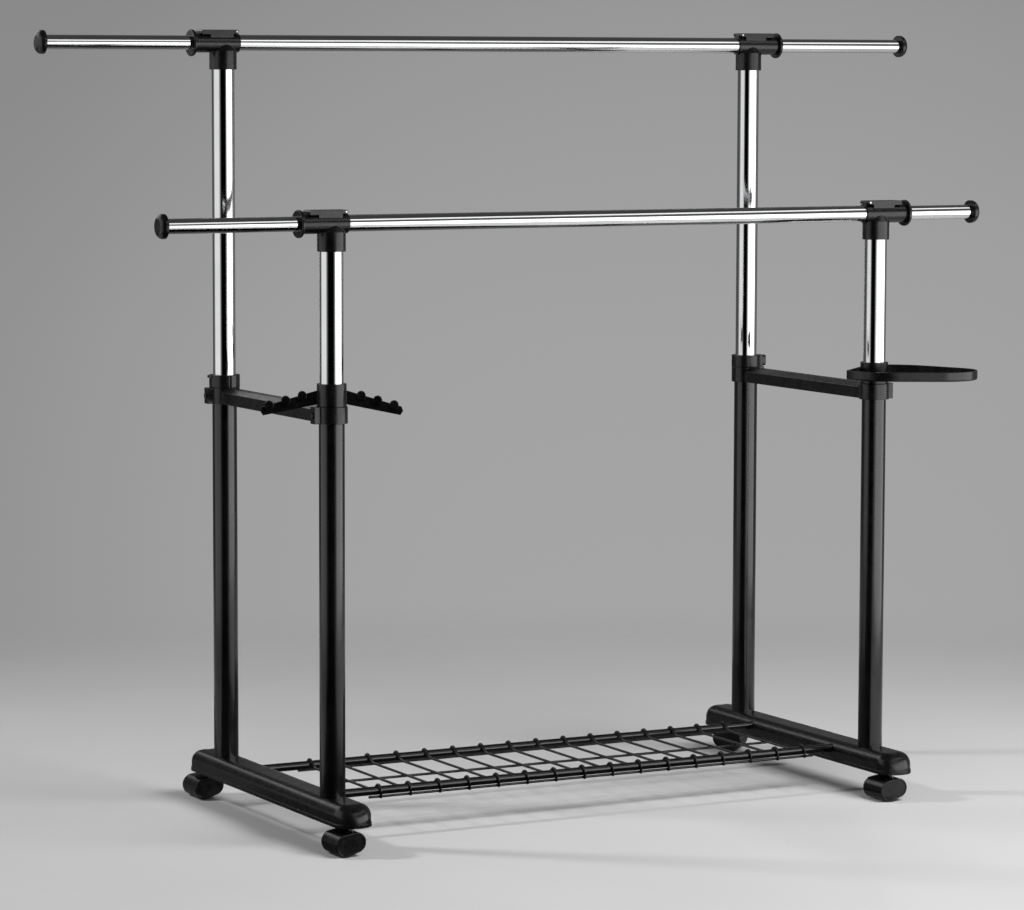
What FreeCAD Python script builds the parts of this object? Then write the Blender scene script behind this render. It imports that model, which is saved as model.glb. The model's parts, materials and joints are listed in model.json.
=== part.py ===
"""Rolling garment stand with two telescopic hanging rails, as a parametric FreeCAD document.

X runs along the rails, +Y towards the taller rear rail, +Z up.  The origin is on the floor
under the middle of the stand.  All sizes are millimetres.
"""
import FreeCAD, Part
import math
import os
import re

import Sketcher

SIZES = {
    # overall layout
    "post_spacing": 942,
    "frame_depth": 385,
    "rear_rail_height": 1179,
    "front_rail_height": 917,
    # telescopic posts
    "lower_tube_diameter": 38,
    "lower_tube_wall": 0.8,
    "lower_tube_length": 611,
    "upper_tube_diameter": 35,
    "upper_tube_wall": 1,
    "rear_tube_foot_height": 543.5,
    "front_tube_foot_height": 281.5,
    "running_clearance": 0.05,
    "free_clearance": 0.3,
    "guide_bush_lip": 3,
    "guide_bush_depth": 25,
    "foot_bush_height": 12,
    "foot_bush_plug": 15,
    "foot_bush_wall": 3,
    # hanging rails and their pull-out rods
    "rail_diameter": 25,
    "rail_wall": 1,
    "rail_end_inset": 20,
    "rod_diameter": 22,
    "rod_wall": 1,
    "rod_length": 440,
    "rear_extension": 293,
    "front_left_extension": 262,
    "front_right_extension": 176,
    "cap_diameter": 36,
    "cap_thickness": 11,
    "cap_dome": 8,
    "cap_plug": 14,
    # tee that joins a rail to a post
    "tee_wall": 2.25,
    "tee_inner_reach": 24,
    "tee_outer_reach": 50,
    "tee_socket_wall": 3.5,
    "tee_socket_drop": 40.5,
    "tee_cone_height": 12,
    "tee_web": 3,
    "rod_bush_flange_diameter": 41,
    "rod_bush_flange": 5,
    "rod_bush_depth": 12,
    # clamp lever on the tee
    "lever_width": 26,
    "lever_rise": 5.25,
    "lever_thickness": 5.6,
    "lever_end_gap": 10,
    "lever_skirt": 12,
    "finger_gap_length": 14,
    "finger_gap_height": 2,
    "knuckle_width": 10,
    "hinge_pin_diameter": 3,
    "clamp_foot_length": 8,
    "clamp_foot_width": 7,
    "clamp_slot_clearance": 1.2,
    # height lock on the rear posts
    "collar_wall": 4.7,
    "collar_overlap": 8,
    "collar_height": 19,
    "collar_slit": 2.4,
    "collar_boss_length": 8,
    "collar_boss_width": 13,
    "knob_height": 18,
    "knob_width": 9,
    "knob_thickness": 7,
    "knob_screw_diameter": 5,
    # spacer bars between rear and front posts
    "spacer_height": 24.5,
    "spacer_gap": 0.5,
    "spacer_ring_wall": 4.5,
    "spacer_bar_width": 26,
    "spacer_bevel": 7,
    "spacer_lug_length": 12,
    "spacer_lug_width": 14,
    "spacer_screw_diameter": 5,
    "spacer_screw_head": 9,
    # accessories on the front posts
    "hub_wall": 2.8,
    "hub_height": 33,
    "arm_drop": 4,
    "arm_reach": 104,
    "arm_root_height": 20,
    "arm_tip_height": 12,
    "arm_thickness": 8,
    "arm_droop": 30,
    "peg_diameter": 13,
    "peg_first": 43,
    "peg_pitch": 24,
    "rack_turn": -25,
    "tray_turn": -48,
    "tray_wide_radius": 85,
    "tray_nose_radius": 58,
    "tray_wide_centre": 30,
    "tray_nose_centre": 106,
    "tray_back": 28,
    "tray_wall": 2.5,
    "tray_rise": 9,
    "tray_depth": 14.5,
    # moulded bases
    "base_height": 32,
    "base_half_width": 30,
    "base_overhang": 63,
    "base_side_rounding": 16,
    "base_nose_rounding": 27.5,
    "base_wall": 3,
    "base_lip_height": 5,
    "base_lip_step": 1,
    "post_seat_floor": 6,
    "boss_wall": 3,
    # shoe shelf
    "shelf_bar_diameter": 13,
    "shelf_bar_wall": 1,
    "shelf_bar_rise": 20,
    "shelf_bar_inset": 71.5,
    "shelf_bar_end_gap": 10,
    "wire_diameter": 4,
    "wire_pitch": 50,
    "wire_end_clearance": 45,
    "wire_shift": 14,
    "wire_gap": 0.05,
    "wire_sag": 2.5,
    "wire_leave_angle": 45,
    "wire_skirt_drop": 10.5,
    "wire_side_margin": 18,
    # twin-wheel castors
    "wheel_radius": 15,
    "wheel_width": 18.5,
    "wheel_inner_gap": 4,
    "castor_trail": 20,
    "hood_cover": 1.5,
    "hood_centre_rise": 2.2,
    "hood_nose_radius": 15,
    "hood_nose_rise": 6,
    "hood_nose_offset": 3,
    "hood_wall": 3,
    "wheel_side_clearance": 0.5,
    "castor_gap": 6,
    "hood_bottom": 1.5,
    "hood_rim": 2.5,
    "hood_rim_depth": 1,
    "axle_diameter": 5,
    "stem_diameter": 8,
    "stem_insert": 24,
    "stem_socket_wall": 2,
    "stem_socket_flange": 2,
}

DERIVED = {
    "post_x": "post_spacing / 2",
    "post_y": "frame_depth / 2",
    "lower_radius": "lower_tube_diameter / 2",
    "lower_bore": "lower_tube_diameter / 2 - lower_tube_wall",
    "upper_radius": "upper_tube_diameter / 2",
    "upper_bore": "upper_tube_diameter / 2 - upper_tube_wall",
    "rail_radius": "rail_diameter / 2",
    "rail_bore": "rail_diameter / 2 - rail_wall",
    "rod_radius": "rod_diameter / 2",
    "rod_bore": "rod_diameter / 2 - rod_wall",
    "sleeve_radius": "rail_diameter / 2 + tee_wall",
    "lever_clear_radius": "rail_diameter / 2 + tee_wall + free_clearance",
    "lever_top": "rail_diameter / 2 + tee_wall + lever_rise",
    "lever_outer_reach": "tee_outer_reach - lever_end_gap",
    "clamp_foot_position": "(rail_end_inset + tee_outer_reach - rod_bush_depth) / 2",
    "hinge_height": "lever_top - lever_thickness / 2",
    "hinge_x": "-(tee_inner_reach - lever_thickness)",
    "post_top_drop": "rail_diameter / 2 + tee_web",
    "hood_centre_height": "wheel_radius + hood_centre_rise",
    "hood_radius": "wheel_radius + hood_cover",
    "hood_nose_height": "wheel_radius + hood_nose_rise",
    "hood_half_width": "wheel_inner_gap + wheel_width + wheel_side_clearance + hood_wall",
    "stem_seat": "hood_nose_height + 1",
    "base_bottom": "hood_nose_height + hood_nose_radius + castor_gap",
    "base_top": "base_bottom + base_height",
    "stem_top": "base_bottom + stem_insert",
    "castor_y": "frame_depth / 2 + base_overhang",
    "post_seat": "base_bottom + post_seat_floor",
    "lower_tube_top": "post_seat + lower_tube_length",
    "shelf_bar_height": "base_bottom + shelf_bar_rise",
    "shelf_bar_offset": "frame_depth / 2 - shelf_bar_inset",
    "wire_space": "post_spacing - 2 * (base_half_width + wire_end_clearance)",
    "wire_count": "floor(wire_space / wire_pitch) + 1",
    "wire_sag_height": "shelf_bar_height - wire_sag",
    "wire_skirt_bottom": "shelf_bar_height - wire_skirt_drop",
    "collar_bottom": "lower_tube_top - collar_overlap",
    "collar_top": "collar_bottom + collar_height",
    "collar_radius": "lower_tube_diameter / 2 + collar_wall",
    "collar_boss_reach": "lower_tube_diameter / 2 + collar_boss_length",
    "spacer_bottom": "collar_bottom - spacer_gap - spacer_height",
    "spacer_ring_radius": "lower_tube_diameter / 2 + spacer_ring_wall",
    "spacer_lug_reach": "lower_tube_diameter / 2 + spacer_lug_length",
    "hub_radius": "lower_tube_diameter / 2 + hub_wall",
    "hub_bore": "upper_tube_diameter / 2 + free_clearance",
    "seat_bore": "lower_tube_diameter / 2",
    "seat_top": "lower_tube_top + guide_bush_lip + free_clearance",
    "stem_radius": "stem_diameter / 2",
    "socket_radius": "stem_diameter / 2 + stem_socket_wall",
    "wire_wrap_radius": "shelf_bar_diameter / 2 + wire_diameter / 2 + wire_gap",
    "axle_radius": "axle_diameter / 2",
    "well_radius": "wheel_radius + 0.6",
}

SIDES = {"left": -1, "right": 1}
ENDS = {"rear": 1, "front": -1}
TURN = {
    "z": FreeCAD.Rotation(),
    "x": FreeCAD.Rotation(FreeCAD.Vector(0, 1, 0), 90),
    "y": FreeCAD.Rotation(FreeCAD.Vector(1, 0, 0), -90),
}

doc = FreeCAD.newDocument("garment_stand")
nodes = []


# ---------------------------------------------------------------- sheet and expressions

def make_sheet():
    sheet = doc.addObject("Spreadsheet::Sheet", "Sizes")
    for row, (name, number) in enumerate(SIZES.items(), start=1):
        sheet.set(f"A{row}", name)
        sheet.set(f"B{row}", str(number))
        sheet.setAlias(f"B{row}", name)
    doc.recompute()
    return sheet


def formula(text):
    """Write a formula's plain size names as references to cells of the sheet."""
    def word(match):
        name = match.group(0)
        if name in DERIVED:
            return "(" + formula(DERIVED[name]) + ")"
        return "Sizes." + name if name in SIZES else name
    return re.sub(r"[A-Za-z_][A-Za-z_0-9]*", word, str(text))


def number(text):
    return float(sheet.evalExpression(formula(text)))


def bind(item, **formulas):
    for name, text in formulas.items():
        item.setExpression(name.replace("__", "."), formula(text))


def place(item, x="0", y="0", z="0", turn=None):
    if turn is not None:
        item.Placement.Rotation = turn
    bind(item, Placement__Base__x=x, Placement__Base__y=y, Placement__Base__z=z)
    return item


def node(label, item):
    item.Label = label
    nodes.append(item)
    return item


# ---------------------------------------------------------------- Part workbench helpers

def cylinder(radius, length, x="0", y="0", z="0", axis="z"):
    item = doc.addObject("Part::Cylinder", "Cylinder")
    bind(item, Radius=radius, Height=length)
    return place(item, x, y, z, TURN[axis])


def cone(low_radius, high_radius, length, x="0", y="0", z="0"):
    item = doc.addObject("Part::Cone", "Cone")
    bind(item, Radius1=low_radius, Radius2=high_radius, Height=length)
    return place(item, x, y, z)


def box(x, y, z):
    """A box from three (low, high) pairs of formulas."""
    item = doc.addObject("Part::Box", "Box")
    bind(item, Length=f"({x[1]}) - ({x[0]})", Width=f"({y[1]}) - ({y[0]})", Height=f"({z[1]}) - ({z[0]})")
    return place(item, x[0], y[0], z[0])


def fuse(*items):
    if len(items) == 1:
        return items[0]
    item = doc.addObject("Part::MultiFuse", "Fusion")
    item.Shapes = list(items)
    return item


def cut(base, *tools):
    item = doc.addObject("Part::Cut", "Cut")
    item.Base = base
    item.Tool = fuse(*tools)
    return item


def common(base, tool):
    item = doc.addObject("Part::Common", "Common")
    item.Base = base
    item.Tool = tool
    return item


def group(*items):
    item = doc.addObject("Part::Compound", "Group")
    item.Links = list(items)
    return item


def tube(radius, bore, length, axis="z"):
    """A tube along an axis, starting at its own origin."""
    return cut(cylinder(radius, length, axis=axis), cylinder(bore, length, axis=axis))


# ---------------------------------------------------------------- PartDesign helpers

def new_body(name):
    return doc.addObject("PartDesign::Body", name)


def new_sketch(body, plane, offset=None):
    sketch = body.newObject("Sketcher::SketchObject", "Sketch")
    origin_plane = [item for item in body.Origin.OriginFeatures if item.Role == plane][0]
    sketch.AttachmentSupport = [(origin_plane, "")]
    sketch.MapMode = "FlatFace"
    if offset is not None:
        bind(sketch, AttachmentOffset__Base__z=offset)
    return sketch


def pin_point(sketch, edge, end, x, y):
    """Hold one end of a sketch edge at two formulas from the sketch's origin."""
    for kind, axis, text in (("DistanceX", -2, x), ("DistanceY", -1, y)):
        distance = number(text)
        if abs(distance) < 1e-9:
            sketch.addConstraint(Sketcher.Constraint("PointOnObject", edge, end, axis))
            continue
        points = (-1, 1, edge, end) if distance > 0 else (edge, end, -1, 1)
        index = sketch.addConstraint(Sketcher.Constraint(kind, *points, abs(distance)))
        signed = formula(text) if distance > 0 else f"-({formula(text)})"
        sketch.setExpression(f"Constraints[{index}]", signed)


def polygon(sketch, corners):
    """A closed outline of straight edges through corners given as pairs of formulas."""
    points = [FreeCAD.Vector(number(x), number(y), 0) for x, y in corners]
    count = len(points)
    edges = [sketch.addGeometry(Part.LineSegment(points[i], points[(i + 1) % count]), False)
             for i in range(count)]
    for i in range(count):
        sketch.addConstraint(Sketcher.Constraint("Coincident", edges[i], 2, edges[(i + 1) % count], 1))
        pin_point(sketch, edges[i], 1, *corners[i])


def circle(sketch, radius, x="0", y="0"):
    centre = FreeCAD.Vector(number(x), number(y), 0)
    edge = sketch.addGeometry(Part.Circle(centre, FreeCAD.Vector(0, 0, 1), number(radius)), False)
    pin_point(sketch, edge, 3, x, y)
    index = sketch.addConstraint(Sketcher.Constraint("Radius", edge, number(radius)))
    sketch.setExpression(f"Constraints[{index}]", formula(radius))


def rounded_hull(sketch, first, second):
    """The outline round two circles, each given as (x, y, radius), with tangent sides."""
    x1, y1, r1 = (number(text) for text in first)
    x2, y2, r2 = (number(text) for text in second)
    along = math.atan2(y2 - y1, x2 - x1)
    spread = math.acos((r1 - r2) / math.hypot(x2 - x1, y2 - y1))
    up = FreeCAD.Vector(0, 0, 1)
    big = Part.ArcOfCircle(Part.Circle(FreeCAD.Vector(x1, y1, 0), up, r1),
                           along + spread, along - spread + 2 * math.pi)
    small = Part.ArcOfCircle(Part.Circle(FreeCAD.Vector(x2, y2, 0), up, r2),
                             along - spread, along + spread)
    edges = [sketch.addGeometry(big, False), sketch.addGeometry(small, False)]
    edges.append(sketch.addGeometry(Part.LineSegment(big.EndPoint, small.StartPoint), False))
    edges.append(sketch.addGeometry(Part.LineSegment(small.EndPoint, big.StartPoint), False))
    for edge, (x, y, radius) in zip(edges, (first, second)):
        pin_point(sketch, edge, 3, x, y)
        index = sketch.addConstraint(Sketcher.Constraint("Radius", edge, number(radius)))
        sketch.setExpression(f"Constraints[{index}]", formula(radius))
    joints = ((edges[0], 2, edges[2], 1), (edges[2], 2, edges[1], 1),
              (edges[1], 2, edges[3], 1), (edges[3], 2, edges[0], 1))
    for joint in joints:
        sketch.addConstraint(Sketcher.Constraint("Tangent", *joint))


def pad(body, sketch, length, both_ways=False, reverse=False):
    feature = body.newObject("PartDesign::Pad", "Pad")
    feature.Profile = sketch
    bind(feature, Length=length)
    feature.SideType = "Symmetric" if both_ways else "One side"
    feature.Reversed = reverse
    return feature


def revolve(body, sketch):
    feature = body.newObject("PartDesign::Revolution", "Revolution")
    feature.Profile = sketch
    feature.ReferenceAxis = (sketch, ["V_Axis"])
    feature.Angle = 360
    return feature


def round_edges(body, feature, radius, chosen):
    """Fillet the edges of a feature that a test on an edge chooses."""
    doc.recompute()
    names = [f"Edge{i}" for i, edge in enumerate(feature.Shape.Edges, start=1) if chosen(edge)]
    fillet = body.newObject("PartDesign::Fillet", "Fillet")
    fillet.Base = (feature, names)
    bind(fillet, Radius=radius)
    return fillet


def turned(name, corners):
    """A piece turned about Z from an outline of (radius, height) corners."""
    body = new_body(name)
    sketch = new_sketch(body, "XZ_Plane")
    polygon(sketch, corners)
    revolve(body, sketch)
    return body


# ---------------------------------------------------------------- posts

def at_post(item, side, end, z, turn=None):
    return place(item, f"{SIDES[side]} * post_x", f"{ENDS[end]} * post_y", z, turn)


def make_lower_tube(side, end):
    item = tube("lower_radius", "lower_bore", "lower_tube_top - post_seat")
    node(f"lower_tube_{end}_{side}", at_post(item, side, end, "post_seat"))


def make_upper_tube(side, end):
    foot = f"{end}_tube_foot_height"
    item = tube("upper_radius", "upper_bore", f"{end}_rail_height - post_top_drop - {foot}")
    node(f"upper_tube_{end}_{side}", at_post(item, side, end, foot))


def make_guide_bushes():
    """A lip on each black tube with a thin liner inside it, which guides the chrome tube."""
    bore = "upper_radius + running_clearance"
    bushes = []
    for end in ENDS:
        for side in SIDES:
            bush = turned("GuideBush", [
                (bore, "-guide_bush_depth"),
                ("lower_bore", "-guide_bush_depth"),
                ("lower_bore", "0"),
                ("lower_radius", "0"),
                ("lower_radius", "guide_bush_lip"),
                (bore, "guide_bush_lip"),
            ])
            bushes.append(at_post(bush, side, end, "lower_tube_top"))
    node("guide_bushes", group(*bushes))


def make_foot_bushes(end):
    """A plug in the foot of each chrome tube, which slides in the black tube."""
    outer = "lower_bore - running_clearance"
    inner = "upper_bore - foot_bush_wall"
    bushes = []
    for side in SIDES:
        bush = turned("FootBush", [
            (inner, "-foot_bush_height"),
            (outer, "-foot_bush_height"),
            (outer, "0"),
            ("upper_bore", "0"),
            ("upper_bore", "foot_bush_plug"),
            (inner, "foot_bush_plug"),
        ])
        bushes.append(at_post(bush, side, end, f"{end}_tube_foot_height"))
    node(f"foot_bushes_{end}", group(*bushes))


# ---------------------------------------------------------------- rails and rods

EXTENSION = {
    ("rear", "left"): "rear_extension",
    ("rear", "right"): "rear_extension",
    ("front", "left"): "front_left_extension",
    ("front", "right"): "front_right_extension",
}


def make_main_rail(end):
    item = tube("rail_radius", "rail_bore", "post_spacing + 2 * rail_end_inset", axis="x")
    place(item, "-(post_x + rail_end_inset)", f"{ENDS[end]} * post_y", f"{end}_rail_height")
    node(f"main_rail_{end}", item)


def make_rod(side, end):
    """A rod that telescopes in the end of the rail, and its domed cap."""
    tip = f"post_x + {EXTENSION[end, side]}"
    start = f"{tip} - rod_length" if side == "right" else f"-({tip})"
    rod = tube("rod_radius", "rod_bore", "rod_length", axis="x")
    place(rod, start, f"{ENDS[end]} * post_y", f"{end}_rail_height")
    node(f"extension_rod_{end}_{side}", rod)

    body = new_body("EndCap")
    sketch = new_sketch(body, "XZ_Plane")
    polygon(sketch, [
        ("0", "-cap_plug"),
        ("rod_bore", "-cap_plug"),
        ("rod_bore", "0"),
        ("cap_diameter / 2", "0"),
        ("cap_diameter / 2", "cap_thickness"),
        ("0", "cap_thickness"),
    ])
    blank = revolve(body, sketch)
    top = number("cap_thickness")
    round_edges(body, blank, "cap_dome", lambda edge: edge.BoundBox.ZMin > top - 1e-3)
    outwards = FreeCAD.Rotation(FreeCAD.Vector(0, 1, 0), 90 * SIDES[side])
    place(body, f"{SIDES[side]} * ({tip})", f"{ENDS[end]} * post_y", f"{end}_rail_height", outwards)
    node(f"end_cap_{end}_{side}", body)


# ---------------------------------------------------------------- tees and clamp levers

OUTWARDS = {
    "right": FreeCAD.Rotation(),
    "left": FreeCAD.Rotation(FreeCAD.Vector(0, 0, 1), 180),
}


def at_tee(item, side, end):
    """Set a piece drawn about the crossing of rail and post axes, with +X pointing outwards."""
    return at_post(item, side, end, f"{end}_rail_height", OUTWARDS[side])


def make_tee(side, end):
    sleeve = cylinder("sleeve_radius", "tee_inner_reach + tee_outer_reach", x="-tee_inner_reach", axis="x")
    socket_radius = "upper_radius + tee_socket_wall"
    socket = cylinder(socket_radius, "tee_socket_drop - tee_cone_height", z="-tee_socket_drop")
    shoulder = cone(socket_radius, "rail_radius", "tee_cone_height", z="-tee_cone_height")
    knuckle_post = box(("hinge_x - lever_thickness / 2", "hinge_x + lever_thickness / 2"),
                       ("-knuckle_width / 2", "knuckle_width / 2"),
                       ("rail_radius", "hinge_height"))
    knuckle = cylinder("lever_thickness / 2", "knuckle_width",
                       "hinge_x", "-knuckle_width / 2", "hinge_height", axis="y")
    rail_bore = cylinder("rail_radius", "tee_inner_reach + tee_outer_reach", x="-tee_inner_reach", axis="x")
    post_bore = cylinder("upper_radius", "tee_socket_drop - post_top_drop", z="-tee_socket_drop")
    pin_hole = cylinder("hinge_pin_diameter / 2", "knuckle_width",
                        "hinge_x", "-knuckle_width / 2", "hinge_height", axis="y")
    slot_x = "clamp_foot_length / 2 + clamp_slot_clearance"
    slot_y = "clamp_foot_width / 2 + clamp_slot_clearance"
    slot = box((f"clamp_foot_position - ({slot_x})", f"clamp_foot_position + {slot_x}"),
               (f"-({slot_y})", slot_y),
               ("0", "lever_top"))
    solid = fuse(sleeve, socket, shoulder, knuckle_post, knuckle)
    item = cut(solid, rail_bore, post_bore, pin_hole, slot)
    node(f"tee_{end}_{side}", at_tee(item, side, end))


def make_rod_bushes(end):
    """A flanged bush in the outer mouth of each tee, which guides the rod."""
    bore = "rod_radius + running_clearance"
    bushes = []
    for side in SIDES:
        body = new_body("RodBush")
        sketch = new_sketch(body, "XZ_Plane")
        polygon(sketch, [
            (bore, "-rod_bush_depth"),
            ("rail_radius", "-rod_bush_depth"),
            ("rail_radius", "0"),
            ("rod_bush_flange_diameter / 2", "0"),
            ("rod_bush_flange_diameter / 2", "rod_bush_flange"),
            (bore, "rod_bush_flange"),
        ])
        blank = revolve(body, sketch)
        rim = number("rod_bush_flange_diameter / 2")
        round_edges(body, blank, "1.5", lambda edge: edge.BoundBox.XMax > rim - 1e-3
                    and edge.BoundBox.ZLength < 1e-6)
        outwards = FreeCAD.Rotation(FreeCAD.Vector(0, 1, 0), 90 * SIDES[side])
        x = f"{SIDES[side]} * (post_x + tee_outer_reach)"
        bushes.append(place(body, x, f"{ENDS[end]} * post_y", f"{end}_rail_height", outwards))
    node(f"rod_bushes_{end}", group(*bushes))


def make_lever_pins(end):
    pins = [cylinder("hinge_pin_diameter / 2", "lever_width", f"{sign} * (post_x + hinge_x)",
                     f"{ENDS[end]} * post_y - lever_width / 2",
                     f"{end}_rail_height + hinge_height", axis="y")
            for sign in SIDES.values()]
    node(f"lever_pins_{end}", group(*pins))


def make_lever(side, end):
    """A clamp lever that covers the top of the sleeve and hinges at its inner end."""
    half = "lever_width / 2"
    blank = new_body("LeverBlank")
    profile = new_sketch(blank, "XZ_Plane")
    polygon(profile, [
        ("hinge_x", "hinge_height - lever_thickness / 2"),
        ("hinge_x + lever_skirt / 2", "hinge_height - lever_thickness / 2"),
        ("hinge_x + lever_skirt / 2", "lever_skirt / 2"),
        ("lever_outer_reach - 2", "lever_skirt / 2"),
        ("lever_outer_reach", "hinge_height - lever_thickness / 2"),
        ("lever_outer_reach", "lever_top - 2"),
        ("lever_outer_reach - 2", "lever_top"),
        ("hinge_x", "lever_top"),
    ])
    pad(blank, profile, "lever_width", both_ways=True)
    heel = cylinder("lever_thickness / 2", "lever_width", "hinge_x", f"-{half}", "hinge_height", axis="y")
    foot = box(("clamp_foot_position - clamp_foot_length / 2", "clamp_foot_position + clamp_foot_length / 2"),
               ("-clamp_foot_width / 2", "clamp_foot_width / 2"),
               ("rod_radius + free_clearance", "lever_top - 2"))
    sleeve_room = cylinder("lever_clear_radius", "2 * lever_outer_reach", x="-lever_outer_reach", axis="x")
    knuckle_room = box(("hinge_x - lever_thickness", "hinge_x + lever_skirt / 2 + 1"),
                       ("-knuckle_width / 2 - free_clearance", "knuckle_width / 2 + free_clearance"),
                       ("0", "lever_top + 1"))
    finger_gap = box(("lever_outer_reach - finger_gap_length", "lever_outer_reach + 1"),
                     ("-lever_width", "lever_width"),
                     ("0", "lever_clear_radius - finger_gap_height"))
    pin_hole = cylinder("hinge_pin_diameter / 2 + running_clearance", "lever_width + 2",
                        "hinge_x", f"-{half} - 1", "hinge_height", axis="y")
    shell = cut(fuse(blank, heel), sleeve_room, knuckle_room, finger_gap)
    item = cut(fuse(shell, foot), pin_hole)
    node(f"rail_lever_{end}_{side}", at_tee(item, side, end))


# ---------------------------------------------------------------- height lock

COLLAR_TURN = {"left": 90, "right": -10}


def make_collar(side):
    """A split ring over the top of a rear post, with a boss for its thumb screw."""
    height = "collar_top - collar_bottom"
    middle = f"({height}) / 2"
    ring = cylinder("collar_radius", height)
    boss = box(("0", "collar_boss_reach"), ("-collar_boss_width / 2", "collar_boss_width / 2"), ("0", height))
    catch = box(("-collar_boss_width / 3", "collar_boss_width / 3"),
                ("0", "collar_boss_reach"),
                (f"{height} - 4", height))
    seat = cylinder("seat_bore", "seat_top - collar_bottom")
    mouth = cylinder("hub_bore", height)
    slit = box(("-2 * collar_radius", "0"), ("-collar_slit / 2", "collar_slit / 2"), ("0", height))
    screw_hole = cylinder("knob_screw_diameter / 2", "collar_boss_reach", z=middle, axis="x")
    item = cut(fuse(ring, boss, catch), seat, mouth, slit, screw_hole)
    turn = FreeCAD.Rotation(FreeCAD.Vector(0, 0, 1), COLLAR_TURN[side])
    node(f"height_collar_{side}", at_post(item, side, "rear", "collar_bottom", turn))

    head = new_body("KnobHead")
    profile = new_sketch(head, "YZ_Plane", "collar_boss_reach + free_clearance")
    lobe = "(knob_height - knob_width) / 2"
    rounded_hull(profile, ("0", f"-{lobe}", "knob_width / 2"), ("0", lobe, "knob_width / 2"))
    plate = pad(head, profile, "knob_thickness")
    outer = number("collar_boss_reach + free_clearance + knob_thickness")
    round_edges(head, plate, "1.5", lambda edge: edge.BoundBox.XMin > outer - 1e-3)
    start = "lower_radius + free_clearance"
    shank = cylinder("knob_screw_diameter / 2 - running_clearance",
                     f"collar_boss_reach + 1 - ({start})", x=start, axis="x")
    knob = fuse(head, shank)
    middle_height = "(collar_bottom + collar_top) / 2"
    node(f"height_knob_{side}", at_post(knob, side, "rear", middle_height, turn))


# ---------------------------------------------------------------- spacer bars

def make_spacer(side):
    """A bar with a clamping ring round the front and the rear post of one side."""
    half = "spacer_bar_width / 2"
    bar = new_body("SpacerBar")
    profile = new_sketch(bar, "XZ_Plane")
    polygon(profile, [
        (f"-({half})", "0"),
        (half, "0"),
        (half, "spacer_height - spacer_bevel"),
        (f"{half} - spacer_bevel", "spacer_height"),
        (f"-({half} - spacer_bevel)", "spacer_height"),
        (f"-({half})", "spacer_height - spacer_bevel"),
    ])
    pad(bar, profile, "frame_depth", both_ways=True)
    solids = [bar]
    bores = []
    lug_half = "spacer_lug_width / 2"
    for sign in ENDS.values():
        y = f"{sign} * post_y"
        solids.append(cylinder("spacer_ring_radius", "spacer_height", y=y))
        reach = ("0", "spacer_lug_reach") if side == "right" else ("-spacer_lug_reach", "0")
        solids.append(box(reach, (f"{y} - {lug_half}", f"{y} + {lug_half}"), ("0", "spacer_height")))
        bores.append(cylinder("seat_bore", "spacer_height", y=y))
        start = "0" if side == "right" else "-spacer_lug_reach"
        bores.append(cylinder("spacer_screw_diameter / 2", "spacer_lug_reach",
                              start, y, "spacer_height / 2", axis="x"))
    item = cut(fuse(*solids), *bores)
    node(f"spacer_bar_{side}", place(item, f"{SIDES[side]} * post_x", "0", "spacer_bottom"))


def make_spacer_screws():
    """Pan-head screws that hold the spacer rings on the black tubes."""
    screws = []
    for end in ENDS:
        for side in SIDES:
            screw = turned("SpacerScrew", [
                ("0", "lower_radius"),
                ("spacer_screw_diameter / 2", "lower_radius"),
                ("spacer_screw_diameter / 2", "spacer_lug_reach"),
                ("spacer_screw_head / 2", "spacer_lug_reach"),
                ("spacer_screw_head / 2", "spacer_lug_reach + 2"),
                ("0", "spacer_lug_reach + 3"),
            ])
            turn = FreeCAD.Rotation(FreeCAD.Vector(0, 1, 0), 90 * SIDES[side])
            screws.append(at_post(screw, side, end, "spacer_bottom + spacer_height / 2", turn))
    node("spacer_screws", group(*screws))


# ---------------------------------------------------------------- accessories on the front posts

def make_hub():
    """The ring of an accessory, which drops over the black tube and rests on the spacer ring."""
    return cylinder("hub_radius", "hub_height")


def hub_bores():
    seat = cylinder("seat_bore + running_clearance", "seat_top - collar_bottom")
    mouth = cylinder("hub_bore", "hub_height")
    return [seat, mouth]


def make_hook_rack():
    """A hub with two drooping arms, each with a row of round pegs on its top edge."""
    root = "(hub_radius - hub_wall / 2)"
    slope = "arm_droop / arm_reach"

    def top(reach):
        return f"(hub_height - arm_drop - {slope} * ({reach}))"

    half_depth = "arm_thickness / 2"
    solids = [make_hub()]
    for sign in SIDES.values():
        arm = new_body("Arm")
        profile = new_sketch(arm, "XZ_Plane")
        corners = [
            (f"{sign} * {root}", f"{top(root)} - arm_root_height"),
            (f"{sign} * (arm_reach - 4)", f"{top('arm_reach')} - arm_tip_height"),
            (f"{sign} * arm_reach", f"{top('arm_reach')} - arm_tip_height / 2"),
            (f"{sign} * (arm_reach - 2)", top("arm_reach")),
            (f"{sign} * {root}", top(root)),
        ]
        polygon(profile, corners if sign > 0 else corners[::-1])
        pad(arm, profile, "arm_thickness", both_ways=True)
        solids.append(arm)
        for index in range(3):
            x = f"peg_first + {index} * peg_pitch"
            z = f"{top(x)} - 1"
            solids.append(cylinder("peg_diameter / 2", "arm_thickness + 4",
                                   f"{sign} * ({x})", f"-({half_depth} + 2)", z, axis="y"))
    item = cut(fuse(*solids), *hub_bores())
    turn = FreeCAD.Rotation(FreeCAD.Vector(0, 0, 1), number("rack_turn"))
    node("hook_rack", at_post(item, "left", "front", "collar_bottom", turn))


def tray_outline(sketch, inset):
    rounded_hull(sketch, ("tray_wide_centre", "0", f"tray_wide_radius - {inset}"),
                 ("tray_nose_centre", "0", f"tray_nose_radius - {inset}"))


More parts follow.
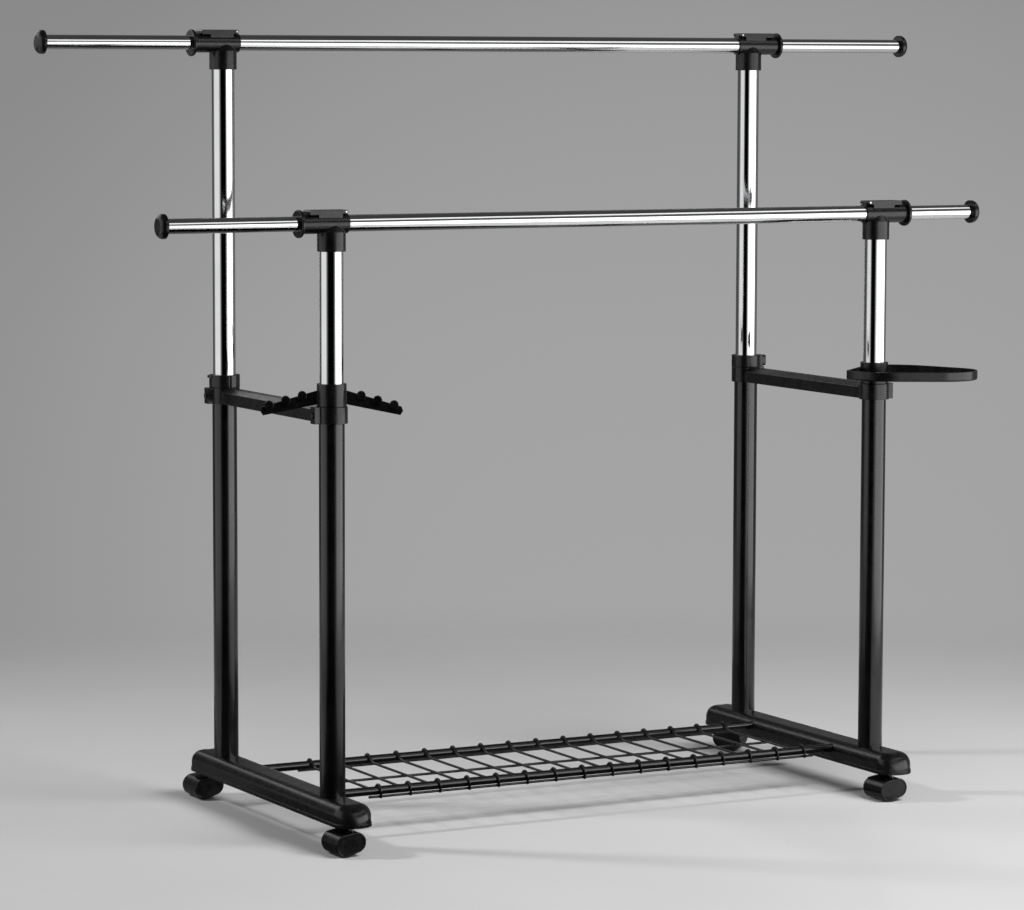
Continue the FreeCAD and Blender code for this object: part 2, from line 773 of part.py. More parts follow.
def make_tray():
    """A shallow tray with a rim, widest near its hub and cut straight behind it."""
    outer = new_body("TrayOuter")
    outline = new_sketch(outer, "XY_Plane")
    tray_outline(outline, "0")
    plate = pad(outer, outline, "tray_depth")
    round_edges(outer, plate, "3", lambda edge: edge.BoundBox.ZMax < 1e-3)
    inner = new_body("TrayInner")
    hollow = new_sketch(inner, "XY_Plane", "tray_wall")
    tray_outline(hollow, "tray_wall")
    pad(inner, hollow, "tray_depth")
    span = "2 * tray_wide_radius"
    behind = box((f"-({span})", "-tray_back"), (f"-({span})", span), ("-1", span))
    room = box(("-tray_back + tray_wall", span), (f"-({span})", span), ("-1", span))
    shell = cut(cut(outer, behind), common(inner, room))
    place(shell, z="tray_rise")
    item = cut(fuse(shell, make_hub()), *hub_bores())
    turn = FreeCAD.Rotation(FreeCAD.Vector(0, 0, 1), number("tray_turn"))
    node("tray", at_post(item, "right", "front", "collar_bottom", turn))


# ---------------------------------------------------------------- bases

def round_top(block, side_radius, nose_radius):
    """Round a base's top edges, lightly along its sides and deeply at the tips of its noses."""
    doc.recompute()
    top = block.Shape.BoundBox.ZMax
    fillet = doc.addObject("Part::Fillet", "BaseRounding")
    fillet.Base = block
    edges = []
    for index, edge in enumerate(block.Shape.Edges, start=1):
        if edge.BoundBox.ZMin > top - 1e-3:
            ends = [edge.valueAt(edge.FirstParameter), edge.valueAt(edge.LastParameter)]
            edges.append((index, *(nose_radius if abs(end.x) < 1e-3 else side_radius for end in ends)))
    fillet.Edges = edges
    return fillet


def base_block(name, inset, bottom, top, rounding=None):
    """A bar along Y with half-round noses, inset all round from the base's outline."""
    body = new_body(name)
    outline = new_sketch(body, "XY_Plane", bottom)
    radius = number(f"base_half_width - {inset}")
    reach = number("castor_y")
    up = FreeCAD.Vector(0, 0, 1)
    for turn, tail in ((1, 0), (-1, 2)):
        circle_edge = Part.Circle(FreeCAD.Vector(0, turn * reach, 0), up, radius)
        start = 0 if turn > 0 else math.pi
        for quarter in (0, 1):
            begin = start + quarter * math.pi / 2
            outline.addGeometry(Part.ArcOfCircle(circle_edge, begin, begin + math.pi / 2), False)
        pin_point(outline, tail, 3, "0", f"{turn} * castor_y")
        index = outline.addConstraint(Sketcher.Constraint("Radius", tail, radius))
        outline.setExpression(f"Constraints[{index}]", formula(f"base_half_width - {inset}"))
        outline.addConstraint(Sketcher.Constraint("Coincident", tail + 1, 3, tail, 3))
        outline.addConstraint(Sketcher.Constraint("Coincident", tail, 2, tail + 1, 1))
        outline.addConstraint(Sketcher.Constraint("PointOnObject", tail, 2, -2))
        outline.addConstraint(Sketcher.Constraint("Horizontal", tail, 1, tail, 3))
        outline.addConstraint(Sketcher.Constraint("Horizontal", tail + 1, 2, tail, 3))
    for side in (1, -1):
        start = FreeCAD.Vector(side * radius, -side * reach, 0)
        end = FreeCAD.Vector(side * radius, side * reach, 0)
        outline.addGeometry(Part.LineSegment(start, end), False)
    for first, second in ((1, 5), (5, 2), (3, 4), (4, 0)):
        outline.addConstraint(Sketcher.Constraint("Coincident", first, 2, second, 1))
    pad(body, outline, f"({top}) - ({bottom})")
    return round_top(body, *rounding) if rounding else body


def make_base(side):
    """A hollow moulded base with bosses for posts, castors and shelf bars."""
    side_radius = number("base_side_rounding")
    nose_radius = number("base_nose_rounding")
    wall = number("base_wall")
    lip = base_block("BaseLip", "0", "base_bottom", "base_bottom + base_lip_height")
    shell = base_block("BaseShell", "base_lip_step", "base_bottom", "base_top", (side_radius, nose_radius))
    cavity = base_block("BaseCavity", "(base_lip_step + base_wall)", "base_bottom - 1",
                        "base_top - base_wall", (side_radius - wall, nose_radius - wall))
    inwards = -SIDES[side]
    bar_reach = "base_half_width - shelf_bar_end_gap"
    height = "base_top - base_bottom"
    bosses = []
    bores = []
    for sign in ENDS.values():
        post_y = f"{sign} * post_y"
        castor_y = f"{sign} * castor_y"
        bosses.append(cylinder("lower_radius + boss_wall", height, y=post_y, z="base_bottom"))
        bosses.append(cylinder("socket_radius + boss_wall", height, y=castor_y, z="base_bottom"))
        bores.append(cylinder("seat_bore", height, y=post_y, z="post_seat"))
        bores.append(cylinder("socket_radius", "stem_top - base_bottom", y=castor_y, z="base_bottom"))
        bar_y = f"{sign} * shelf_bar_offset"
        start = "shelf_bar_end_gap" if inwards > 0 else "-base_half_width"
        bosses.append(cylinder("shelf_bar_diameter / 2 + boss_wall", bar_reach, start, bar_y,
                               "shelf_bar_height", axis="x"))
        bores.append(cylinder("shelf_bar_diameter / 2", bar_reach, start, bar_y,
                              "shelf_bar_height", axis="x"))
    walls = cut(fuse(lip, shell), cavity)
    item = cut(fuse(walls, common(shell, fuse(*bosses))), *bores)
    node(f"base_{side}", place(item, f"{SIDES[side]} * post_x"))


def make_stem_sockets():
    """A flanged sleeve in each castor boss, which holds the castor's stem."""
    bore = "stem_radius + running_clearance"
    sockets = []
    for end in ENDS:
        for side in SIDES:
            socket = turned("StemSocket", [
                (bore, "-stem_socket_flange"),
                ("socket_radius + stem_socket_wall", "-stem_socket_flange"),
                ("socket_radius + stem_socket_wall", "0"),
                ("socket_radius", "0"),
                ("socket_radius", "stem_top - base_bottom - 1"),
                (bore, "stem_top - base_bottom - 1"),
            ])
            y = f"{ENDS[end]} * castor_y"
            sockets.append(place(socket, f"{SIDES[side]} * post_x", y, "base_bottom"))
    node("stem_sockets", group(*sockets))


# ---------------------------------------------------------------- shoe shelf

def make_shelf_bars():
    bars = []
    inner_end = "post_x - shelf_bar_end_gap"
    for sign in ENDS.values():
        bar = tube("shelf_bar_diameter / 2", "shelf_bar_diameter / 2 - shelf_bar_wall",
                   f"2 * ({inner_end})", axis="x")
        bars.append(place(bar, f"-({inner_end})", f"{sign} * shelf_bar_offset", "shelf_bar_height"))
    node("shelf_bars", group(*bars))


def cross_wire_path(x):
    """The centre line of a cross wire: over the front bar, a shallow sag, over the rear bar."""
    wrap = number("wire_wrap_radius")
    offset = number("shelf_bar_offset")
    height = number("shelf_bar_height")
    sag = number("wire_sag_height")
    angle = math.radians(number("wire_leave_angle"))
    top = height + wrap
    leave = FreeCAD.Vector(x, -offset + wrap * math.sin(angle), height + wrap * math.cos(angle))
    bend = (leave.z - sag) / (1 - math.cos(angle))
    half = FreeCAD.Vector(x, leave.y + bend * (math.sin(angle) - math.sin(angle / 2)),
                          sag + bend * (1 - math.cos(angle / 2)))
    flat = FreeCAD.Vector(x, leave.y + bend * math.sin(angle), sag)
    skirt = FreeCAD.Vector(x, -offset - wrap, number("wire_skirt_bottom"))
    side = FreeCAD.Vector(x, -offset - wrap, height)
    crown = FreeCAD.Vector(x, -offset, top)

    def mirror(point):
        return FreeCAD.Vector(point.x, -point.y, point.z)

    return Part.Wire([
        Part.LineSegment(skirt, side).toShape(),
        Part.Arc(side, crown, leave).toShape(),
        Part.Arc(leave, half, flat).toShape(),
        Part.LineSegment(flat, mirror(flat)).toShape(),
        Part.Arc(mirror(flat), mirror(half), mirror(leave)).toShape(),
        Part.Arc(mirror(leave), mirror(crown), mirror(side)).toShape(),
        Part.LineSegment(mirror(side), mirror(skirt)).toShape(),
    ])


def make_cross_wires():
    """Identical bent wires across the two bars, evenly spaced."""
    count = int(number("wire_count"))
    radius = number("wire_diameter / 2")
    wires = []
    for index in range(count):
        x = (index - (count - 1) / 2) * number("wire_pitch") + number("wire_shift")
        path = cross_wire_path(x)
        start = path.Edges[0].valueAt(path.Edges[0].FirstParameter)
        disc = Part.Wire([Part.Circle(start, FreeCAD.Vector(0, 0, 1), radius).toShape()])
        wires.append(path.makePipeShell([disc], True, False))
    item = doc.addObject("Part::Feature", "CrossWires")
    item.Shape = Part.Compound(wires)
    node("cross_wires", item)


def make_long_wires():
    """One wire under the middle of the cross wires and one inside each row of their ends."""
    half_length = "((wire_count - 1) * wire_pitch / 2 + wire_side_margin)"
    drop = "wire_diameter + wire_gap"
    inside = "shelf_bar_offset + wire_wrap_radius - wire_diameter - wire_gap"
    low = "wire_skirt_bottom + wire_diameter / 2"
    places = [("0", f"wire_sag_height - ({drop})"), (f"-({inside})", low), (inside, low)]
    start = f"wire_shift - {half_length}"
    wires = [cylinder("wire_diameter / 2", f"2 * {half_length}", start, y, z, axis="x")
             for y, z in places]
    node("long_wires", group(*wires))


# ---------------------------------------------------------------- castors

# how far each castor is swivelled from trailing straight towards -X
CASTOR_TURN = {("rear", "right"): 135}


def at_castor(item, side, end):
    """Set a piece drawn about the stem's axis, with its wheels trailing towards -X."""
    turn = FreeCAD.Rotation(FreeCAD.Vector(0, 0, 1), CASTOR_TURN.get((end, side), 0))
    return place(item, f"{SIDES[side]} * post_x", f"{ENDS[end]} * castor_y", "0", turn)


def hood_outline(sketch, inset):
    rounded_hull(sketch, ("-castor_trail", "hood_centre_height", f"hood_radius - {inset}"),
                 ("-hood_nose_offset", "hood_nose_height", f"hood_nose_radius - {inset}"))


def make_castor_hood(side, end):
    """An egg-shaped hood with a well for each wheel and a raised rim round each side face."""
    hood = new_body("Hood")
    outline = new_sketch(hood, "XZ_Plane")
    hood_outline(outline, "0")
    block = pad(hood, outline, "2 * hood_half_width", both_ways=True)
    round_edges(hood, block, "1.2", lambda edge: edge.BoundBox.YLength < 1e-6)
    recesses = []
    for sign in (-1, 1):
        disc = new_body("RimRecess")
        sketch = new_sketch(disc, "XZ_Plane", f"{-sign} * (hood_half_width - hood_rim_depth)")
        hood_outline(sketch, "hood_rim")
        pad(disc, sketch, "hood_rim_depth + 1", reverse=sign > 0)
        recesses.append(disc)
    wells = []
    for sign in (-1, 1):
        near = "wheel_inner_gap - free_clearance"
        depth = f"hood_half_width - hood_wall - ({near})"
        start = near if sign > 0 else "-(hood_half_width - hood_wall)"
        wells.append(cylinder("well_radius", depth, "-castor_trail", start, "wheel_radius", axis="y"))
    span = "4 * hood_radius"
    below = box((f"-{span}", span), (f"-{span}", span), ("-hood_radius", "hood_bottom"))
    axle_hole = cylinder("axle_radius", "2 * hood_half_width - hood_wall", "-castor_trail",
                         "-(hood_half_width - hood_wall / 2)", "wheel_radius", axis="y")
    stem_hole = cylinder("stem_radius", "stem_top", z="stem_seat")
    boss = common(cylinder("stem_radius + 1.5", "hood_nose_height + hood_nose_radius - stem_seat + 1",
                           z="stem_seat - 1"),
                  cylinder("hood_nose_radius", "2 * hood_half_width", "-hood_nose_offset",
                           "-hood_half_width", "hood_nose_height", axis="y"))
    item = cut(fuse(cut(hood, below, *wells, *recesses), boss), axle_hole, stem_hole)
    node(f"castor_hood_{end}_{side}", at_castor(item, side, end))


def make_castor_pins(side, end):
    """The castor's steel pieces: the stem pressed in the hood, and the axle of its wheels."""
    stem = cylinder("stem_radius", "stem_top - 1 - stem_seat", z="stem_seat")
    axle = cylinder("axle_radius", "2 * hood_half_width - hood_wall", "-castor_trail",
                    "-(hood_half_width - hood_wall / 2)", "wheel_radius", axis="y")
    node(f"castor_pins_{end}_{side}", at_castor(group(stem, axle), side, end))


def make_castor_wheels(side, end):
    wheels = []
    for sign in (-1, 1):
        wheel = new_body("Wheel")
        sketch = new_sketch(wheel, "XZ_Plane", f"{-sign} * wheel_inner_gap")
        circle(sketch, "wheel_radius", "-castor_trail", "wheel_radius")
        circle(sketch, "axle_radius + running_clearance", "-castor_trail", "wheel_radius")
        disc = pad(wheel, sketch, "wheel_width", reverse=sign > 0)
        tread = number("wheel_radius")
        round_edges(wheel, disc, "1.5", lambda edge: edge.BoundBox.YLength < 1e-6
                    and edge.BoundBox.ZMax > 2 * tread - 1e-3)
        wheels.append(wheel)
    node(f"castor_wheels_{end}_{side}", at_castor(group(*wheels), side, end))


# ---------------------------------------------------------------- the stand

def make_stand():
    make_guide_bushes()
    make_spacer_screws()
    make_stem_sockets()
    make_shelf_bars()
    make_cross_wires()
    make_long_wires()
    make_hook_rack()
    make_tray()
    for side in SIDES:
        make_base(side)
        make_spacer(side)
        make_collar(side)
    for end in ENDS:
        make_main_rail(end)
        make_foot_bushes(end)
        make_rod_bushes(end)
        make_lever_pins(end)
        for side in SIDES:
            make_lower_tube(side, end)
            make_upper_tube(side, end)
            make_rod(side, end)
            make_tee(side, end)
            make_lever(side, end)
            make_castor_hood(side, end)
            make_castor_pins(side, end)
            make_castor_wheels(side, end)


def check_document():
    doc.recompute()
    faults = [item.Label for item in doc.Objects
              if "Invalid" in item.State or "Error" in item.State]
    for item in nodes:
        if item.Shape.isNull() or not item.Shape.isValid() or not item.Shape.Solids:
            faults.append(item.Label)
    if faults:
        raise ValueError("failed objects: " + ", ".join(faults))


def export_nodes():
    os.makedirs("parts", exist_ok=True)
    for item in nodes:
        item.Shape.exportStep(f"parts/{item.Label}.step")
        print(item.Label, len(item.Shape.Solids), round(item.Shape.Volume))


sheet = make_sheet()
make_stand()
check_document()
export_nodes()
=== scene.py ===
"""Looks for the rolling garment stand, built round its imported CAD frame.

Metres, the same frame as the CAD: X along the rails, +Y towards the taller rear rail, +Z up.
"""
import json
import math

import bpy
from mathutils import Matrix, Vector

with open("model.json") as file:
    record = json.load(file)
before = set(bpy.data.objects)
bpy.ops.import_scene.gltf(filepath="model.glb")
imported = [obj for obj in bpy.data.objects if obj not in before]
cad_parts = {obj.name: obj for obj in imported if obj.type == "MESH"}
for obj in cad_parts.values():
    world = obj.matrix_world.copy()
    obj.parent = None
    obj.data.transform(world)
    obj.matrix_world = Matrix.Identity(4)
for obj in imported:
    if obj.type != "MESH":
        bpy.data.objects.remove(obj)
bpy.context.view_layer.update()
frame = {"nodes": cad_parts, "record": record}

CAMERA_AZIMUTH = math.radians(-28.07)
CAMERA_ELEVATION = math.radians(5.70)
CAMERA_ROLL = math.radians(0.139)
CAMERA_DISTANCE = 6.065
CAMERA_TARGET = Vector((-0.0700, 0.0007, 0.5442))
CAMERA_LENS = 137.4
CAMERA_FAR_CLIP = 200.0

# the backdrop's grey by the sine of the angle above the horizon, from straight down to straight up
BACKDROP_SHADES = (
    (-1.0, 0.33),
    (-0.15, 0.29),
    (-0.07, 0.28),
    (0.02, 0.25),
    (0.3, 0.11),
    (1.0, 0.04),
)

# the pool of light on the backdrop: the angle from its middle to its edge, how far its middle lies
# to the right of the camera's direction, both in degrees, and how much brighter its middle is
POOL_SPREAD = 12.0
POOL_SHIFT = 3.0
POOL_GAIN = 1.3

# the floor is solid this far from the stand's middle, and gone at its reach
FLOOR_SOLID = 1.0
FLOOR_REACH = 2.3
FLOOR_SIDES = 96
FLOOR_FLAG_LIFT = 0.004

# rays a Bevel node casts to round an edge
EDGE_SAMPLES = 6


# ---------------------------------------------------------------- node trees

class Shader:
    """A material under construction, with short ways to add and link nodes."""

    def __init__(self, name):
        self.material = bpy.data.materials.new(name)
        self.material.use_nodes = True
        self.tree = self.material.node_tree
        self.surface = self.tree.nodes["Principled BSDF"]
        self.place = self.add("ShaderNodeTexCoord").outputs["Object"]

    def add(self, kind, **settings):
        node = self.tree.nodes.new(kind)
        for key, value in settings.items():
            setattr(node, key, value)
        return node

    def link(self, source, target):
        self.tree.links.new(source, target)

    def set(self, **values):
        for key, value in values.items():
            self.surface.inputs[key.replace("_", " ")].default_value = value

    def colour(self, source):
        self.link(source, self.surface.inputs["Base Color"])

    def roughness(self, noise, low, high):
        self.link(self.ramp(noise, low, high), self.surface.inputs["Roughness"])

    def scaled(self, stretch):
        mapping = self.add("ShaderNodeMapping")
        mapping.inputs["Scale"].default_value = stretch
        self.link(self.place, mapping.inputs["Vector"])
        return mapping.outputs["Vector"]

    def noise(self, size, detail=3.0, stretch=(1, 1, 1)):
        """Noise whose features are about one size across, in metres."""
        node = self.add("ShaderNodeTexNoise")
        node.inputs["Scale"].default_value = 1.0 / size
        node.inputs["Detail"].default_value = detail
        self.link(self.scaled(stretch), node.inputs["Vector"])
        return node.outputs["Fac"]

    def ramp(self, fac, low, high, start=0.35, end=0.65):
        """Turn noise into a value between low and high."""
        node = self.add("ShaderNodeMapRange")
        node.inputs["From Min"].default_value = start
        node.inputs["From Max"].default_value = end
        node.inputs["To Min"].default_value = low
        node.inputs["To Max"].default_value = high
        self.link(fac, node.inputs["Value"])
        return node.outputs["Result"]

    def cloud(self, size):
        """Soft patches about one size across, from 0 to 1."""
        return self.ramp(self.noise(size), 0.0, 1.0)

    def mix(self, fac, first, second):
        """Blend two colours or colour sockets, from the first at 0 to the second at 1."""
        node = self.add("ShaderNodeMix", data_type="RGBA")
        for socket, value in (("A", first), ("B", second)):
            target = [s for s in node.inputs if s.name == socket and s.type == "RGBA"][0]
            if isinstance(value, tuple):
                target.default_value = (*value, 1.0)
            else:
                self.link(value, target)
        self.link(fac, node.inputs["Factor"])
        return [s for s in node.outputs if s.type == "RGBA"][0]

    def bump(self, *layers, edge_radius=0.0):
        """Stack bumps given as (height, strength, depth in metres).

        An edge radius in metres makes them start from a normal that is rounded at the edges.
        """
        below = None
        if edge_radius > 0.0:
            edge = self.add("ShaderNodeBevel", samples=EDGE_SAMPLES)
            edge.inputs["Radius"].default_value = edge_radius
            below = edge.outputs["Normal"]
        for height, strength, depth in layers:
            node = self.add("ShaderNodeBump")
            node.inputs["Strength"].default_value = strength
            node.inputs["Distance"].default_value = depth
            self.link(height, node.inputs["Height"])
            if below is not None:
                self.link(below, node.inputs["Normal"])
            below = node.outputs["Normal"]
        self.link(below, self.surface.inputs["Normal"])


# ---------------------------------------------------------------- materials

def chrome_plate():
    """Bright plate with smudges, slight waves and fine dust."""
    shader = Shader("chrome_plate")
    shader.set(Metallic=1.0, IOR=2.5)
    smudge = shader.cloud(0.06)
    dust = shader.ramp(shader.noise(0.0012, detail=2.0), 0.0, 1.0, start=0.6, end=0.75)
    clean = shader.mix(smudge, (0.83, 0.835, 0.845), (0.77, 0.775, 0.785))
    shader.colour(shader.mix(dust, clean, (0.66, 0.66, 0.67)))
    shader.roughness(shader.noise(0.03, detail=5.0), 0.04, 0.085)
    shader.bump(
        (shader.noise(0.05, detail=2.0), 0.04, 0.0002),
        (shader.noise(0.0008, detail=2.0), 0.04, 0.00002),
    )
    return shader.material


def black_coat():
    """Satin black coat on steel tube, with a slight orange peel."""
    shader = Shader("black_coat")
    shader.set(IOR=1.52, Coat_Weight=0.3, Coat_Roughness=0.1)
    cloud = shader.cloud(0.05)
    shader.colour(shader.mix(cloud, (0.0025, 0.0025, 0.003), (0.0055, 0.0055, 0.006)))
    shader.roughness(shader.noise(0.02, detail=5.0), 0.15, 0.23)
    shader.bump(
        (shader.noise(0.0035, detail=2.0), 0.10, 0.00012),
        (shader.noise(0.0006, detail=2.0), 0.10, 0.00003),
    )
    return shader.material


def black_plastic():
    """Moulded black plastic with a fine grain and paler scuffs."""
    shader = Shader("black_plastic")
    shader.set(IOR=1.49)
    cloud = shader.cloud(0.03)
    base = shader.mix(cloud, (0.003, 0.003, 0.0035), (0.007, 0.007, 0.0075))
    streaks = shader.noise(0.004, detail=6.0, stretch=(1, 1, 5))
    scuff = shader.ramp(streaks, 0.0, 0.6, start=0.68, end=0.76)
    shader.colour(shader.mix(scuff, base, (0.025, 0.025, 0.026)))
    shader.roughness(shader.noise(0.012, detail=5.0), 0.21, 0.31)
    shader.bump(
        (shader.noise(0.02, detail=2.0), 0.10, 0.0003),
        (shader.noise(0.0007, detail=2.0), 0.14, 0.00003),
        edge_radius=0.0012,
    )
    return shader.material


def bush_plastic():
    """Plain black bush plastic, duller than the outer mouldings."""
    shader = Shader("bush_plastic")
    shader.set(IOR=1.46)
    cloud = shader.cloud(0.01)
    shader.colour(shader.mix(cloud, (0.006, 0.006, 0.0065), (0.012, 0.012, 0.0125)))
    shader.roughness(shader.noise(0.006), 0.42, 0.55)
    shader.bump((shader.noise(0.0006, detail=2.0), 0.3, 0.00004), edge_radius=0.0008)
    return shader.material


def wheel_plastic():
    """Hard glossy wheel plastic with pale scuffs."""
    shader = Shader("wheel_plastic")
    shader.set(IOR=1.5)
    cloud = shader.cloud(0.008)
    base = shader.mix(cloud, (0.003, 0.003, 0.0035), (0.008, 0.008, 0.008))
    streaks = shader.noise(0.0015, detail=4.0, stretch=(1, 0.25, 1))
    scuff = shader.ramp(streaks, 0.0, 0.6, start=0.64, end=0.76)
    shader.colour(shader.mix(scuff, base, (0.035, 0.035, 0.035)))
    shader.roughness(shader.noise(0.003), 0.14, 0.26)
    shader.bump((shader.noise(0.0008, detail=2.0), 0.15, 0.00004), edge_radius=0.001)
    return shader.material


def zinc_steel():
    """Zinc plated steel with a fine spangle."""
    shader = Shader("zinc_steel")
    shader.set(Metallic=1.0)
    spangle = shader.ramp(shader.noise(0.0015, detail=2.0), 0.0, 1.0)
    shader.colour(shader.mix(spangle, (0.50, 0.51, 0.53), (0.66, 0.67, 0.69)))
    shader.roughness(shader.noise(0.002, detail=4.0), 0.22, 0.36)
    shader.bump((shader.noise(0.0005, detail=2.0), 0.15, 0.00003))
    return shader.material


def studio_floor():
    """Plain pale paper that fades out into the backdrop well away from the stand."""
    shader = Shader("studio_floor")
    shader.set(Roughness=0.8, IOR=1.35)
    cloud = shader.cloud(0.6)
    shader.colour(shader.mix(cloud, (0.67, 0.67, 0.67), (0.70, 0.70, 0.70)))
    reach = shader.add("ShaderNodeVectorMath", operation="LENGTH")
    shader.link(shader.place, reach.inputs[0])
    fade = shader.add("ShaderNodeMapRange", interpolation_type="SMOOTHSTEP")
    fade.inputs["From Min"].default_value = FLOOR_SOLID
    fade.inputs["From Max"].default_value = FLOOR_REACH
    fade.inputs["To Min"].default_value = 1.0
    fade.inputs["To Max"].default_value = 0.0
    shader.link(reach.outputs["Value"], fade.inputs["Value"])
    shader.link(fade.outputs["Result"], shader.surface.inputs["Alpha"])
    return shader.material


SLOT_MATERIALS = {
    "chrome": chrome_plate(),
    "black_tube": black_coat(),
    "shelf_metal": black_coat(),
    "black_plastic": black_plastic(),
    "bush_plastic": bush_plastic(),
    "wheel_plastic": wheel_plastic(),
    "zinc_steel": zinc_steel(),
}
NODE_SLOTS = {entry["node"]: entry["material_slot"] for entry in frame["record"]["subparts"]}


def dress_nodes():
    """Give each CAD node the material of its slot."""
    for name, obj in frame["nodes"].items():
        for slot in obj.material_slots:
            slot.material = SLOT_MATERIALS[NODE_SLOTS[name]]


# ---------------------------------------------------------------- studio

def towards(azimuth, elevation=0.0):
    """The unit vector from the stand to a viewer at an azimuth and elevation in radians."""
    flat = Vector((math.sin(azimuth), -math.cos(azimuth), 0.0)) * math.cos(elevation)
    return flat + Vector((0.0, 0.0, math.sin(elevation)))


def make_camera():
    data = bpy.data.cameras.new("camera")
    data.lens = CAMERA_LENS
    data.clip_end = CAMERA_FAR_CLIP
    camera = bpy.data.objects.new("camera", data)
    bpy.context.collection.objects.link(camera)
    back = towards(CAMERA_AZIMUTH, CAMERA_ELEVATION)
    camera.location = CAMERA_TARGET + back * CAMERA_DISTANCE
    turn = (-back).to_track_quat("-Z", "Y") @ Matrix.Rotation(CAMERA_ROLL, 3, "Z").to_quaternion()
    camera.rotation_mode = "QUATERNION"
    camera.rotation_quaternion = turn
    bpy.context.scene.camera = camera


def make_floor():
    mesh = bpy.data.meshes.new("floor")
    corners = [(math.cos(turn) * FLOOR_REACH, math.sin(turn) * FLOOR_REACH, 0.0)
               for turn in (math.tau * step / FLOOR_SIDES for step in range(FLOOR_SIDES))]
    mesh.from_pydata(corners, [], [tuple(range(FLOOR_SIDES))])
    floor = bpy.data.objects.new("floor", mesh)
    bpy.context.collection.objects.link(floor)
    mesh.materials.append(studio_floor())


def panel(name, corners, radiance):
    """A glowing panel, or a black flag, that only shows in reflections."""
    mesh = bpy.data.meshes.new(name)
    mesh.from_pydata(corners, [], [(0, 1, 2, 3)])
    item = bpy.data.objects.new(name, mesh)
    bpy.context.collection.objects.link(item)
    material = bpy.data.materials.new(name)
    material.use_nodes = True
    surface = material.node_tree.nodes["Principled BSDF"]
    surface.inputs["Base Color"].default_value = (0, 0, 0, 1)
    surface.inputs["Specular IOR Level"].default_value = 0.0
    surface.inputs["Emission Color"].default_value = (1, 1, 1, 1)
    surface.inputs["Emission Strength"].default_value = radiance
    mesh.materials.append(material)
    item.visible_camera = False
    item.visible_diffuse = False
    item.visible_shadow = False


def upright(name, side_angle, distance, width, low, high, radiance):
    """An upright panel that faces the stand, some degrees round it to the right of the camera."""
    out = towards(CAMERA_AZIMUTH + math.radians(side_angle))
    centre = out * distance
    across = Vector((-out.y, out.x, 0.0)) * (width / 2)
    bottom, top = Vector((0, 0, low)), Vector((0, 0, high))
    corners = [centre - across + bottom, centre + across + bottom,
               centre + across + top, centre - across + top]
    panel(name, corners, radiance)


def soft_edge(name, start, step, distance, low, high, radiances):
    """Narrow panels beside a bright one, each a step in degrees further round than the last."""
    width = 2 * distance * math.tan(math.radians(abs(step)) / 2)
    for index, radiance in enumerate(radiances):
        angle = start + (index + 0.5) * step
        upright(f"{name}_{index}", angle, distance, width, low, high, radiance)


def floor_flag(name, corners, radiance):
    """A panel lying just over the floor."""
    panel(name, [(x, y, FLOOR_FLAG_LIFT) for x, y in corners], radiance)


def area_light(name, position, aim, width, height, power):
    """A rectangular light that is left out of the camera's view and of reflections."""
    data = bpy.data.lights.new(name, "AREA")
    data.shape = "RECTANGLE"
    data.size = width
    data.size_y = height
    data.energy = power
    light = bpy.data.objects.new(name, data)
    light.location = position
    light.rotation_mode = "QUATERNION"
    light.rotation_quaternion = (Vector(aim) - Vector(position)).to_track_quat("-Z", "Y")
    light.visible_camera = False
    light.visible_glossy = False
    bpy.context.collection.objects.link(light)


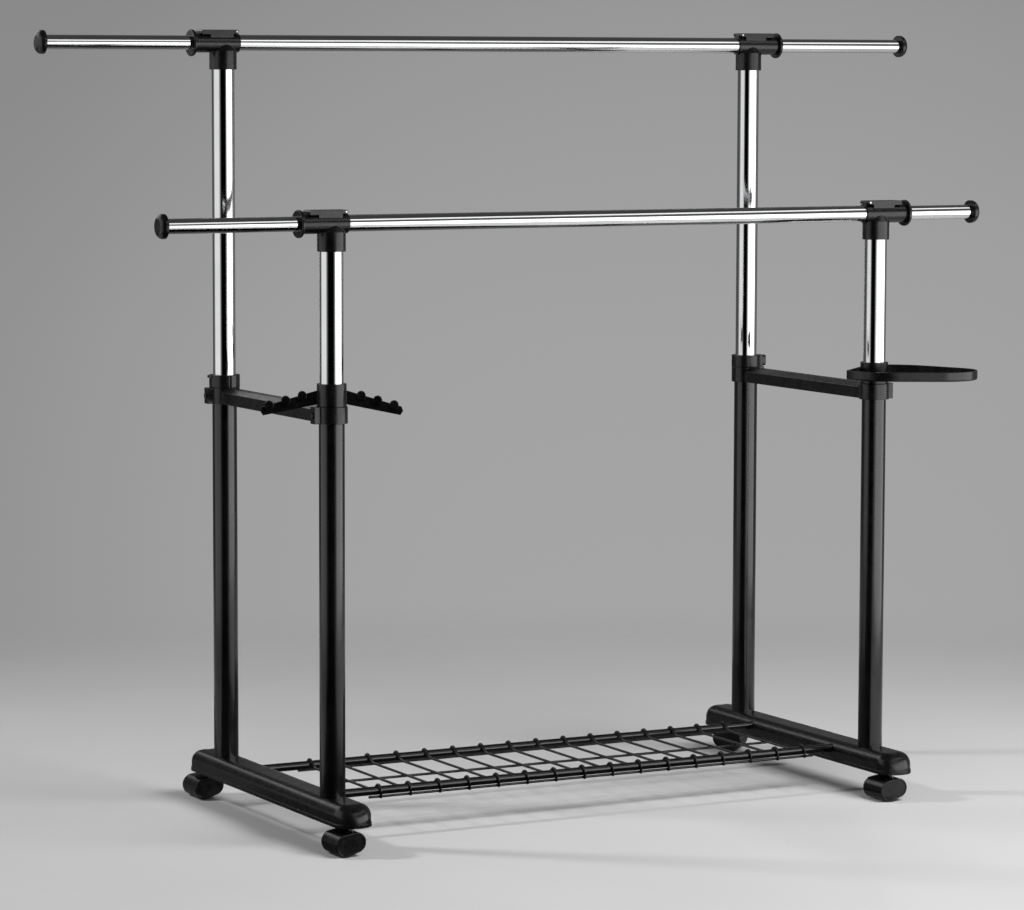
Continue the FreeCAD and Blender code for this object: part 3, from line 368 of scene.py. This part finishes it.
def make_world():
    """A grey backdrop that darkens upwards, with a soft pool of light behind the stand."""
    world = bpy.data.worlds.new("studio")
    world.use_nodes = True
    tree = world.node_tree
    backdrop = tree.nodes["Background"]
    direction = tree.nodes.new("ShaderNodeTexCoord").outputs["Generated"]
    split = tree.nodes.new("ShaderNodeSeparateXYZ")
    tree.links.new(direction, split.inputs["Vector"])
    rise = tree.nodes.new("ShaderNodeMapRange")
    rise.inputs["From Min"].default_value = -1.0
    tree.links.new(split.outputs["Z"], rise.inputs["Value"])
    shades = tree.nodes.new("ShaderNodeValToRGB")
    tree.links.new(rise.outputs["Result"], shades.inputs["Fac"])
    while len(shades.color_ramp.elements) < len(BACKDROP_SHADES):
        shades.color_ramp.elements.new(0.5)
    for stop, (height, grey) in zip(shades.color_ramp.elements, BACKDROP_SHADES):
        stop.position = (height + 1.0) / 2.0
        stop.color = (grey, grey, grey, 1.0)
    pool_way = tree.nodes.new("ShaderNodeVectorMath")
    pool_way.operation = "DOT_PRODUCT"
    tree.links.new(direction, pool_way.inputs[0])
    pool_azimuth = CAMERA_AZIMUTH - math.radians(POOL_SHIFT)
    pool_way.inputs[1].default_value = -towards(pool_azimuth, CAMERA_ELEVATION)
    pool = tree.nodes.new("ShaderNodeMapRange")
    pool.interpolation_type = "SMOOTHSTEP"
    pool.inputs["From Min"].default_value = math.cos(math.radians(POOL_SPREAD))
    pool.inputs["To Min"].default_value = 1.0
    pool.inputs["To Max"].default_value = POOL_GAIN
    tree.links.new(pool_way.outputs["Value"], pool.inputs["Value"])
    tree.links.new(shades.outputs["Color"], backdrop.inputs["Color"])
    tree.links.new(pool.outputs["Result"], backdrop.inputs["Strength"])
    bpy.context.scene.world = world
    bpy.context.scene.view_settings.view_transform = "Standard"


def make_lights():
    """Panels and flags that shape the reflections, and two lights that reflections leave out."""
    upright("dark_flag", side_angle=0, distance=3.4, width=5.6,
            low=-0.02, high=3.6, radiance=0.0)
    upright("left_rear_flag", side_angle=-138, distance=2.9, width=3.4,
            low=-0.02, high=2.6, radiance=0.08)
    upright("right_rear_flag", side_angle=142, distance=2.9, width=3.4,
            low=-0.02, high=2.6, radiance=0.15)
    upright("right_panel", side_angle=66, distance=1.8, width=2.7,
            low=0.05, high=1.22, radiance=2.4)
    soft_edge("right_panel_edge", start=29, step=-5, distance=1.8,
              low=0.05, high=1.22, radiances=(1.3, 0.6, 0.22, 0.07))
    upright("upper_strip", side_angle=66, distance=1.8, width=3.4,
            low=2.15, high=3.0, radiance=1.2)
    upright("left_panel", side_angle=-72, distance=2.1, width=1.9,
            low=0.05, high=2.3, radiance=0.85)
    soft_edge("left_panel_edge", start=-48, step=4, distance=2.1,
              low=0.05, high=2.3, radiances=(0.5, 0.25, 0.1, 0.04))
    upright("high_left_panel", side_angle=-120, distance=2.6, width=3.0,
            low=1.25, high=3.4, radiance=1.2)
    floor_flag("front_floor_flag", radiance=0.0,
               corners=[(0.5, -0.1), (-0.6, 0.25), (-4.5, -1.9), (-1.5, -3.6)])
    floor_flag("under_flag", radiance=0.12,
               corners=[(-0.9, -0.3), (0.9, -0.3), (0.9, 1.2), (-0.9, 1.2)])
    area_light("key", position=(-2.6, 1.6, 2.6), aim=(0, -0.3, 0.3),
               width=0.4, height=0.4, power=50)
    area_light("top", position=(1.2, -2.1, 2.9), aim=(0.6, -0.9, 0),
               width=2.2, height=1.8, power=120)


make_camera()
make_floor()
make_world()
make_lights()
dress_nodes()
